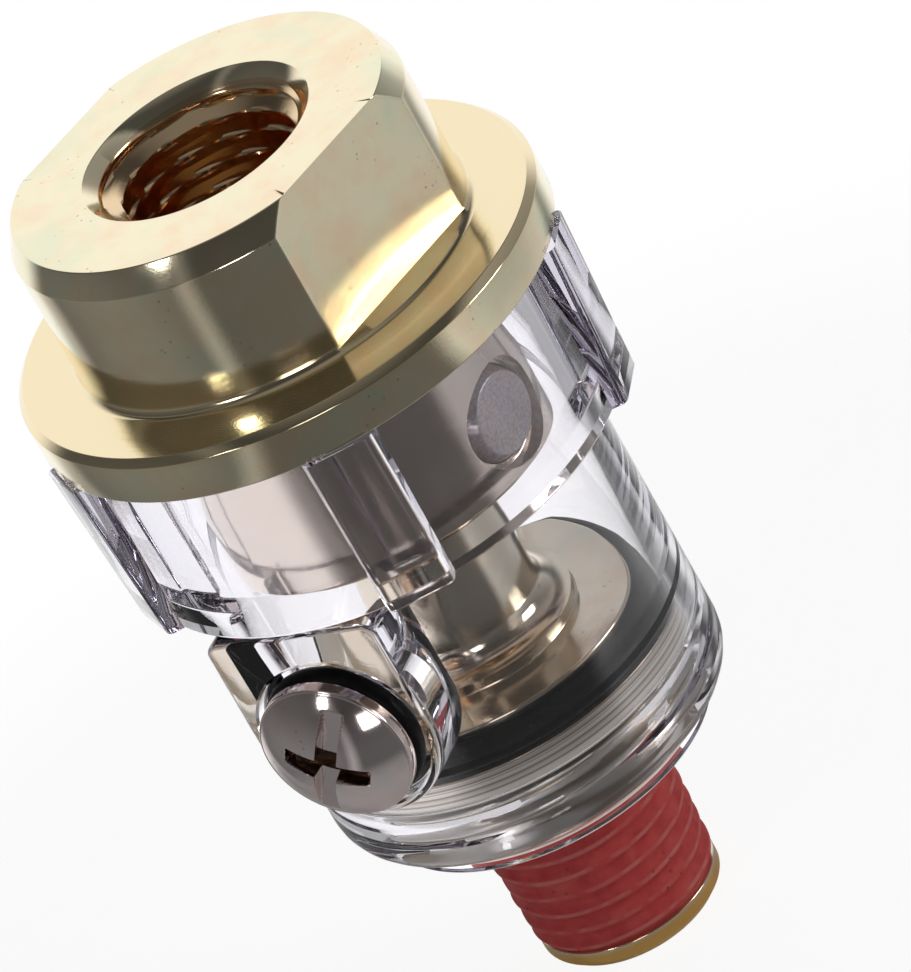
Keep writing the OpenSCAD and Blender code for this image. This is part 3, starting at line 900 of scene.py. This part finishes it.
def clouds_group():
    """Two layers of soft noise: the first mixes the pale colour with the warm one, the second adds the cool
    one. Depth gives the first noise again, as a value for roughness."""
    tree, given, result = new_group("plating_clouds", [
        ("Place", VECTOR, None),
        ("Size", FLOAT, 300.0),
        ("Pale", COLOR, (0.9, 0.85, 0.7, 1)),
        ("Warm", COLOR, (0.9, 0.75, 0.6, 1)),
        ("Cool", COLOR, (0.7, 0.75, 0.6, 1)),
    ], [("Colour", COLOR), ("Depth", FLOAT)])
    first = add_node(tree, "ShaderNodeTexNoise", {
        "Vector": given["Place"], "Scale": given["Size"], "Detail": 3.0, "Roughness": 0.55,
    }).outputs["Fac"]
    second = add_node(tree, "ShaderNodeTexNoise", {
        "Vector": given["Place"], "Scale": calc(tree, "MULTIPLY", given["Size"], COOL_SCALE),
        "Detail": 2.0, "Roughness": 0.5, "Distortion": 0.6,
    }).outputs["Fac"]
    warmed = mixed(tree, ranged(tree, first, (0.42, 0.68)), given["Pale"], given["Warm"])
    cooled = mixed(tree, ranged(tree, second, (0.5, 0.72)), warmed, given["Cool"])
    feed(tree, result["Colour"], cooled)
    feed(tree, result["Depth"], first)
    return tree


# %% Turning marks
def turning_group():
    """Rings of the lathe: noise along one line, read at (distance from the axis + height) times Lines.
    Round a wall that gives rings, on a face it gives circles."""
    tree, given, result = new_group("turning_marks", [
        ("Place", VECTOR, None),
        ("Lines", FLOAT, 4000.0),
    ], [("Height", FLOAT)])
    height = reach_along(tree, given["Place"], UPWARD)
    total = calc(tree, "ADD", axis_distance(tree, given["Place"]), height)
    line = calc(tree, "MULTIPLY", total, given["Lines"])
    rings = add_node(
        tree, "ShaderNodeTexNoise", {"W": line, "Scale": 1.0, "Detail": 2.0}, noise_dimensions="1D",
    )
    feed(tree, result["Height"], rings.outputs["Fac"])
    return tree


# %% Specks and grain
def specks_group():
    """Small round specks where the distance to the nearest scattered point is under Reach, in patches that a
    soft noise lets through."""
    tree, given, result = new_group("specks", [
        ("Place", VECTOR, None),
        ("Size", FLOAT, 900.0),
        ("Reach", FLOAT, 0.16),
    ], [("Mask", FLOAT)])
    points = add_node(tree, "ShaderNodeTexVoronoi", {"Vector": given["Place"], "Scale": given["Size"]})
    patches = add_node(tree, "ShaderNodeTexNoise", {"Vector": given["Place"], "Scale": 220.0, "Detail": 1.0})
    near = ranged(tree, points.outputs["Distance"], (0.0, given["Reach"]), (1.0, 0.0))
    let_through = ranged(tree, patches.outputs["Fac"], (0.52, 0.6))
    feed(tree, result["Mask"], calc(tree, "MULTIPLY", near, let_through))
    return tree


# %% Satin grain
def grain_group():
    """Fine even noise for the satin of a plated surface, as a height."""
    tree, given, result = new_group("satin_grain", [
        ("Place", VECTOR, None),
        ("Size", FLOAT, 4000.0),
    ], [("Height", FLOAT)])
    noise = add_node(tree, "ShaderNodeTexNoise", {
        "Vector": given["Place"], "Scale": given["Size"], "Detail": 2.0, "Roughness": 0.6,
    })
    feed(tree, result["Height"], noise.outputs["Fac"])
    return tree


CLOUDS, TURNING, SPECKS, GRAIN = clouds_group(), turning_group(), specks_group(), grain_group()
print("groups:", [group.name for group in bpy.data.node_groups])

# %% [markdown]
# ## Finishes
# Each finish is a Principled shader fed by the groups. Metal takes its colour from what it mirrors, so its
# base colour is the tint of the plating and its roughness says how satin it is.

# %% Material helpers
def new_finish(name, settings):
    """A material with one Principled shader, whose even values are set on its own sockets."""
    material = bpy.data.materials.new(name)
    material.use_nodes = True
    tree = material.node_tree
    shader = tree.nodes["Principled BSDF"]
    for title, value in settings.items():
        shader.inputs[title].default_value = value
    return material, tree, shader, object_place(tree)


def add_group(tree, group, place, **values):
    """Places a node group in a material, on these coordinates, with its own values."""
    return add_node(tree, "ShaderNodeGroup", {"Place": place, **values}, node_tree=group)


def add_bump(tree, shader, height, depth):
    """Bends the shader's normal by a height, times a depth in millimetres, on top of an earlier bump."""
    bump = add_node(tree, "ShaderNodeBump", {"Height": height, "Strength": 1.0, "Distance": depth * MM})
    if shader.inputs["Normal"].is_linked:
        feed(tree, bump.inputs["Normal"], shader.inputs["Normal"].links[0].from_socket)
    feed(tree, shader.inputs["Normal"], bump.outputs["Normal"])


def tint(material, mask, colour):
    """Mixes a colour into a finish's base colour by a mask."""
    tree = material.node_tree
    target = tree.nodes["Principled BSDF"].inputs["Base Color"]
    feed(tree, target, mixed(tree, mask, target.links[0].from_socket, colour))


def roughen(material, mask, rough):
    """Gives the part of a finish under a mask its own roughness."""
    tree = material.node_tree
    target = tree.nodes["Principled BSDF"].inputs["Roughness"]
    feed(tree, target, blend(tree, mask, target.links[0].from_socket, rough))


# %% Masks on a finish
FLAT_SLACK = 0.06


def height_mask(material, low, high, blur):
    """1 between two heights in millimetres, with soft bounds."""
    tree = material.node_tree
    height = reach_along(tree, object_place(tree), UPWARD)
    above = ranged(tree, height, ((low - blur) * MM, low * MM))
    below = ranged(tree, height, ((high + blur) * MM, high * MM))
    return calc(tree, "MULTIPLY", above, below)


def bore_mask(material, reach):
    """1 inside a radius in millimetres."""
    tree = material.node_tree
    return calc(tree, "LESS_THAN", axis_distance(tree, object_place(tree)), reach * MM)


def flats_mask(material):
    """1 on the milled flats: they lie where the distance along their normal is the half-width, above the
    flange."""
    tree = material.node_tree
    normal = (math.cos(FLAT_ANGLE), math.sin(FLAT_ANGLE), 0.0)
    away = reach_along(tree, object_place(tree), normal)
    size = add_node(tree, "ShaderNodeMath", {0: away}, operation="ABSOLUTE").outputs[0]
    sockets = {0: size, 1: WRENCH_HALF * MM, 2: FLAT_SLACK * MM}
    near = add_node(tree, "ShaderNodeMath", sockets, operation="COMPARE").outputs[0]
    return calc(tree, "MULTIPLY", near, height_mask(material, head_z + FLAT_RISE, top_z - 0.1, 0.05))


def streak_mask(material, mask, lines):
    """Narrow lathe rings inside another mask."""
    tree = material.node_tree
    rings = add_group(tree, TURNING, object_place(tree), Lines=lines)
    return calc(tree, "MULTIPLY", ranged(tree, rings.outputs["Height"], (0.46, 0.6)), mask)


# %% Plated metal
SPECK_SIZE, SPECK_REACH, GRAIN_SIZE = 1400.0, 0.17, 4200.0


def plated_finish(name, pale, warm, cool, size, rough, lines, ring_depth, grain_depth, speck_colour):
    """Plated and turned metal: clouds for the tint, roughness that follows them, lathe rings, a satin grain
    and a few specks."""
    material, tree, shader, place = new_finish(name, {"Metallic": 1.0})
    clouds = add_group(tree, CLOUDS, place, Size=size, Pale=pale, Warm=warm, Cool=cool).outputs
    specks = add_group(tree, SPECKS, place, Size=SPECK_SIZE, Reach=SPECK_REACH).outputs
    rings = add_group(tree, TURNING, place, Lines=lines).outputs
    grain = add_group(tree, GRAIN, place, Size=GRAIN_SIZE).outputs
    feed(tree, shader.inputs["Base Color"], mixed(tree, specks["Mask"], clouds["Colour"], speck_colour))
    feed(tree, shader.inputs["Roughness"], ranged(tree, clouds["Depth"], new=rough))
    add_bump(tree, shader, rings["Height"], ring_depth)
    add_bump(tree, shader, grain["Height"], grain_depth)
    return material


head_finish = plated_finish(
    "gold_plating",
    (0.95, 0.86, 0.62, 1), (0.96, 0.78, 0.55, 1), (0.82, 0.84, 0.62, 1),
    420.0, (0.07, 0.17), 5200.0, 0.0015, 0.002, (0.5, 0.4, 0.25, 1),
)
stem_finish = plated_finish(
    "stem_plating",
    (0.84, 0.77, 0.65, 1), (0.84, 0.71, 0.56, 1), (0.74, 0.72, 0.62, 1),
    380.0, (0.08, 0.2), 4200.0, 0.002, 0.001, (0.4, 0.3, 0.2, 1),
)
screw_finish = plated_finish(
    "bright_nickel",
    (0.93, 0.81, 0.79, 1), (0.87, 0.74, 0.7, 1), (0.85, 0.78, 0.79, 1),
    500.0, (0.05, 0.14), 2600.0, 0.0005, 0.001, (0.5, 0.44, 0.38, 1),
)
roughen(head_finish, flats_mask(head_finish), 0.26)
# Painted shade: the spigot, which hangs inside the bowl, is tinted a darker mauve grey.
tint(head_finish, height_mask(head_finish, spigot_z - 1, flange_z, 0.1), (0.8, 0.71, 0.63, 1))
# Painted reflection: a deeper gold where the flange meets the body, for the warmer light bounced between the
# two.
tint(head_finish, height_mask(head_finish, head_z - 0.4, head_z + 0.5, 0.5), (0.93, 0.79, 0.52, 1))
# Painted shade: the threaded mouth is tinted a darker brown gold.
tint(head_finish, bore_mask(head_finish, inlet_r + 0.05), (0.86, 0.64, 0.4, 1))
on_base = height_mask(stem_finish, bowl_z, groove_z, 0.2)
roughen(stem_finish, on_base, 0.4)
tint(stem_finish, on_base, (0.88, 0.85, 0.8, 1))
tint(stem_finish, streak_mask(stem_finish, on_base, 3400.0), (0.46, 0.38, 0.29, 1))
tint(stem_finish, height_mask(stem_finish, outlet_z - 1, sealant_z - 0.4, 0.4), (0.88, 0.6, 0.2, 1))
# Painted shade: the attribute darkens the slot's walls and the cross to brown.
recess_shade_mask = add_node(screw_finish.node_tree, "ShaderNodeAttribute", attribute_name="grime").outputs["Fac"]
tint(screw_finish, recess_shade_mask, (0.4, 0.32, 0.27, 1))
dress(head, head_finish)
dress(stem, stem_finish)
dress(screw, screw_finish)
print("plated finishes:", head_finish.name, stem_finish.name, screw_finish.name)

# %% [markdown]
# ## Clear plastic, rubber, sintered metal and sealant
# The bowl is a clear plastic that bends light a little more than glass, with the slow waves of a moulding. On
# a long way through it light turns violet and dim, which darkens the grip ribs where they are seen end on.
# The rubber is black with a soft sheen and some dust. The plug is a packed bed of tiny metal grains. The
# sealant is a dull red paint that is rubbed pale along the crests of the thread.

# %% Clear bowl
PLASTIC_IOR = 1.57
PLASTIC_BODY, PLASTIC_DENSITY = (0.42, 0.38, 0.51, 1), 36.0


def clear_finish():
    """Clear moulded plastic: full transmission, slow waves in its surface, and a body that swallows some
    light with the distance, least of it in the violet."""
    material, tree, shader, place = new_finish("clear_plastic", {
        "Transmission Weight": 1.0, "IOR": PLASTIC_IOR, "Roughness": 0.0, "Metallic": 0.0,
    })
    clouds = add_group(
        tree, CLOUDS, place, Size=120.0,
        Pale=(0.99, 0.985, 0.995, 1), Warm=(0.985, 0.98, 0.99, 1), Cool=(0.98, 0.978, 0.99, 1),
    ).outputs
    feed(tree, shader.inputs["Base Color"], clouds["Colour"])
    add_bump(tree, shader, clouds["Depth"], 0.012)
    dim = add_node(tree, "ShaderNodeVolumeAbsorption", {"Color": PLASTIC_BODY, "Density": PLASTIC_DENSITY})
    feed(tree, tree.nodes["Material Output"].inputs["Volume"], dim.outputs[0])
    return material


dress(bowl, clear_finish())


# %% Rubber
def rubber_finish():
    """Black rubber: nearly black clouds, a soft sheen and a few grey specks of dust."""
    material, tree, shader, place = new_finish("black_rubber", {"Specular IOR Level": 0.12})
    clouds = add_group(
        tree, CLOUDS, place, Size=600.0,
        Pale=(0.006, 0.006, 0.007, 1), Warm=(0.009, 0.008, 0.008, 1), Cool=(0.005, 0.005, 0.006, 1),
    ).outputs
    dust = add_group(tree, SPECKS, place, Size=1800.0, Reach=0.14).outputs
    dusty = mixed(tree, dust["Mask"], clouds["Colour"], (0.09, 0.085, 0.08, 1))
    feed(tree, shader.inputs["Base Color"], dusty)
    feed(tree, shader.inputs["Roughness"], ranged(tree, clouds["Depth"], new=(0.32, 0.5)))
    add_bump(tree, shader, clouds["Depth"], 0.01)
    return material


rubber = rubber_finish()
dress(base_seal, rubber)
dress(screw_seal, rubber)
dress(frame["nodes"]["head_o_ring"], rubber)


# %% Sintered plug
def sintered_finish():
    """Sintered metal: grains from the distance to scattered points, in the bump and in the tint."""
    material, tree, shader, place = new_finish("sintered_metal", {"Metallic": 0.85})
    grains = add_node(tree, "ShaderNodeTexVoronoi", {"Vector": place, "Scale": 5200.0}).outputs["Distance"]
    clouds = add_group(
        tree, CLOUDS, place, Size=500.0,
        Pale=(0.74, 0.68, 0.71, 1), Warm=(0.74, 0.64, 0.6, 1), Cool=(0.64, 0.61, 0.68, 1),
    ).outputs
    gaps = ranged(tree, grains, new=(0.0, 0.4))
    feed(tree, shader.inputs["Base Color"], mixed(tree, gaps, clouds["Colour"], (0.2, 0.17, 0.17, 1)))
    feed(tree, shader.inputs["Roughness"], ranged(tree, grains, new=(0.32, 0.6)))
    add_bump(tree, shader, grains, -0.01)
    return material


dress(plug, sintered_finish())


# %% Sealant paint
def sealant_finish():
    """Dried red sealant: clouds of red, pale crests from the piece's own crest attribute, and dark specks."""
    material, tree, shader, place = new_finish("red_paint", {"Specular IOR Level": 0.3})
    clouds = add_group(
        tree, CLOUDS, place, Size=700.0,
        Pale=(0.54, 0.06, 0.057, 1), Warm=(0.45, 0.038, 0.04, 1), Cool=(0.58, 0.095, 0.085, 1),
    ).outputs
    specks = add_group(tree, SPECKS, place, Size=1300.0, Reach=0.2).outputs
    crests = add_node(tree, "ShaderNodeAttribute", attribute_name="crest").outputs["Fac"]
    rubbed = ranged(tree, crests, (0.88, 1.1))
    patchy = calc(tree, "MULTIPLY", rubbed, ranged(tree, clouds["Depth"], (0.36, 0.6)))
    worn = mixed(tree, patchy, clouds["Colour"], (0.66, 0.24, 0.21, 1))
    feed(tree, shader.inputs["Base Color"], mixed(tree, specks["Mask"], worn, (0.1, 0.02, 0.02, 1)))
    feed(tree, shader.inputs["Roughness"], ranged(tree, clouds["Depth"], new=(0.5, 0.75)))
    add_bump(tree, shader, clouds["Depth"], 0.06)
    return material


dress(sealant, sealant_finish())
print("materials:", [material.name for material in bpy.data.materials])

# %% [markdown]
# ## Stage
# The object stands on a plain white sheet in soft light. Bright metal and clear plastic show their
# surroundings, so these matter more than the lamps: white behind and to the sides, and the dim room in front
# of the object, which gives the metal its dark side. The camera itself sees plain white.
# Light bounces many times inside thick clear plastic. Where it is given up too early the plastic shows flat
# black patches, so it is followed further than usual.

# %% Surroundings
BACK_LEVEL, ZENITH_LEVEL, CLEAR_LEVEL, THROUGH_LEVEL = 1.0, 0.2, 0.3, 1.45
ASIDE_LEVELS = [
    (0, 0.22), (0.15, 0.14), (0.19, 0.36), (0.24, 0.1), (0.8, 0.12), (0.85, 0.62), (0.93, 0.45), (1, 0.28),
]
CARD_TURN, CARD_LEVEL, CARD_TOP = math.radians(50), 1.25, 0.55


def level_axis(azimuth):
    """The level direction at an azimuth, as the camera counts it."""
    return (math.sin(azimuth), -math.cos(azimuth), 0.0)


front = level_axis(camera_azimuth)
aside = (math.cos(camera_azimuth), math.sin(camera_azimuth), 0.0)
from_card = level_axis(camera_azimuth + CARD_TURN)


def level_ramp(tree, value, levels):
    """A ramp of greys: each stop is a place from 0 to 1 and its level."""
    ramp = add_node(tree, "ShaderNodeValToRGB", {"Fac": value})
    stops = ramp.color_ramp.elements
    while len(stops) < len(levels):
        stops.new(0.5)
    for stop, (place, level) in zip(stops, levels):
        stop.position = place
        stop.color = (level, level, level, 1)
    return ramp.outputs["Color"]


def studio_world():
    """White behind the object. Elsewhere the room's level runs from left to right, with a soft strip on each
    side of the camera, dimmer above the table and lighter straight overhead. What is mirrored inside the
    plastic meets a white card that stands behind and to the left. The camera sees white. A look straight
    through the plastic down at the table meets more than white, because its walls take some of it away."""
    world = bpy.data.worlds.new("studio")
    world.use_nodes = True
    tree = world.node_tree
    direction = add_node(tree, "ShaderNodeTexCoord").outputs["Generated"]
    path = add_node(tree, "ShaderNodeLightPath").outputs
    upward = reach_along(tree, direction, UPWARD)
    inside = calc(tree, "GREATER_THAN", path["Transmission Depth"], 0.5)
    faced = blend(tree, inside, reach_along(tree, direction, front), reach_along(tree, direction, from_card))
    white_from = ranged(tree, inside, new=(-0.82, -0.35))
    white_to = ranged(tree, inside, new=(-0.6, -0.1))
    behind = ranged(tree, faced, (white_from, white_to), (1.0, 0.0), "SMOOTHSTEP")
    card = ranged(tree, upward, (-0.1, 0.25), (CARD_LEVEL, CARD_TOP))
    white = ranged(tree, inside, new=(BACK_LEVEL, card))
    across = ranged(tree, reach_along(tree, direction, aside), (-1.0, 1.0))
    dimmer = ranged(tree, upward, (-0.3, 0.3), (1.0, 0.5))
    room = calc(tree, "MULTIPLY", level_ramp(tree, across, ASIDE_LEVELS), dimmer)
    lighter = blend(tree, ranged(tree, upward, (0.82, 0.97)), room, ZENITH_LEVEL)
    whole = blend(tree, behind, lighter, white)
    unmirrored = calc(tree, "LESS_THAN", path["Glossy Depth"], 0.5)
    straight = calc(tree, "MULTIPLY", path["Is Transmission Ray"], unmirrored)
    clear = ranged(tree, upward, (-0.15, 0.1), (THROUGH_LEVEL, CLEAR_LEVEL))
    through = calc(tree, "MULTIPLY", straight, clear)
    seen = blend(tree, path["Is Camera Ray"], calc(tree, "MAXIMUM", whole, through), 1.0)
    background = tree.nodes["Background"].inputs
    feed(tree, background["Strength"], seen)
    feed(tree, background["Color"], (1, 1, 1, 1))
    return world


bpy.context.scene.world = studio_world()
bounces = bpy.context.scene.cycles
bounces.glossy_bounces, bounces.transmission_bounces, bounces.max_bounces = 16, 24, 32
print("light is followed for", bounces.max_bounces, "bounces")

# %% Floor
FLOOR_REACH, FLOOR_SOLID, SHEET_T = 85, 40, 1
MIRRORED_REACH, MIRRORED_SOLID = 62, 30
INSIDE_REACH, INSIDE_SOLID = 46, 30
SHEET_WHITE, OWN_WHITE, INSIDE_WHITE = 0.8, 1.12, 0.65
SHEET_GREY = (0.86, 0.86, 0.86, 1)


def floor_bound(tree, mirrored, inside, plain, in_metal, in_plastic):
    """A distance in metres from three in millimetres: for plain rays, for what metal mirrors and for what is
    mirrored inside the plastic."""
    nearer = ranged(tree, inside, new=(in_metal * MM, in_plastic * MM))
    return ranged(tree, mirrored, new=(plain * MM, nearer))


def floor_finish():
    """White sheet: mostly its own white to the camera and straight through the plastic, partly so to other
    rays that left the plastic, and matt white to the rest. It thins out with the distance from the object, so
    that no edge shows, sooner for what metal mirrors and soonest for what is mirrored inside the plastic."""
    material, tree, shader, place = new_finish("white_sheet", {
        "Base Color": SHEET_GREY, "Roughness": 0.9, "Specular IOR Level": 0.0,
    })
    path = add_node(tree, "ShaderNodeLightPath").outputs
    mirrored = calc(tree, "GREATER_THAN", path["Glossy Depth"], 0.5)
    inside = calc(tree, "GREATER_THAN", path["Transmission Depth"], 0.5)
    straight = calc(tree, "SUBTRACT", path["Is Transmission Ray"], mirrored, clamp=True)
    glare = ranged(tree, straight, new=(OWN_WHITE, THROUGH_LEVEL))
    glow = add_node(tree, "ShaderNodeEmission", {"Strength": glare})
    direct = calc(tree, "MAXIMUM", path["Is Camera Ray"], straight)
    either = calc(tree, "MAXIMUM", calc(tree, "MULTIPLY", inside, INSIDE_WHITE), direct)
    amount = calc(tree, "MULTIPLY", either, SHEET_WHITE)
    lit = add_node(tree, "ShaderNodeMixShader", {0: amount, 1: shader.outputs[0], 2: glow.outputs[0]})
    solid = floor_bound(tree, mirrored, inside, FLOOR_SOLID, MIRRORED_SOLID, INSIDE_SOLID)
    reach = floor_bound(tree, mirrored, inside, FLOOR_REACH, MIRRORED_REACH, INSIDE_REACH)
    thin = ranged(tree, length_of(tree, place), (solid, reach), bend="SMOOTHSTEP")
    clear = add_node(tree, "ShaderNodeBsdfTransparent")
    sheet = add_node(tree, "ShaderNodeMixShader", {0: thin, 1: lit.outputs[0], 2: clear.outputs[0]})
    feed(tree, tree.nodes["Material Output"].inputs["Surface"], sheet.outputs[0])
    return material


floor = grid_piece("floor", spindle([
    (0, outlet_z - SHEET_T, 0),
    (FLOOR_REACH, outlet_z - SHEET_T, 0),
    (FLOOR_REACH, outlet_z, 0),
    (0, outlet_z, 0),
], 96, 20, lambda points: points), ring=False)
dress(floor, floor_finish())
print("floor reaches", FLOOR_REACH, "mm")

# %% Lamps
def soft_lamp(name, bearing, elevation, distance, width, height, radiance):
    """A soft lamp that looks at the middle of the object, placed by its bearing from the camera's side.
    Its power is radiance times pi times its area."""
    axes = camera_axes(camera_azimuth + math.radians(bearing), math.radians(elevation), 0)
    lamp = bpy.data.lights.new(name, "AREA")
    lamp.shape = "RECTANGLE"
    lamp.size, lamp.size_y = width * MM, height * MM
    lamp.energy = radiance * math.pi * lamp.size * lamp.size_y
    target = np.array([0, 0, (top_z + outlet_z) / 2])
    add_object(name, lamp).matrix_world = placed_at(axes, target + axes[2] * distance)


soft_lamp("right_lamp", 71, 14, 320, 110, 110, 7)
soft_lamp("left_lamp", -51, 31, 320, 45, 50, 12)
soft_lamp("front_lamp", -12, 7, 320, 90, 80, 5)
print("lamps:", [lamp.name for lamp in bpy.data.lights])

# %% [markdown]
# ## Colour view
# The colour view is the plain one, so a colour shows as it is written.

# %% Finish
bpy.context.scene.view_settings.view_transform = "Standard"
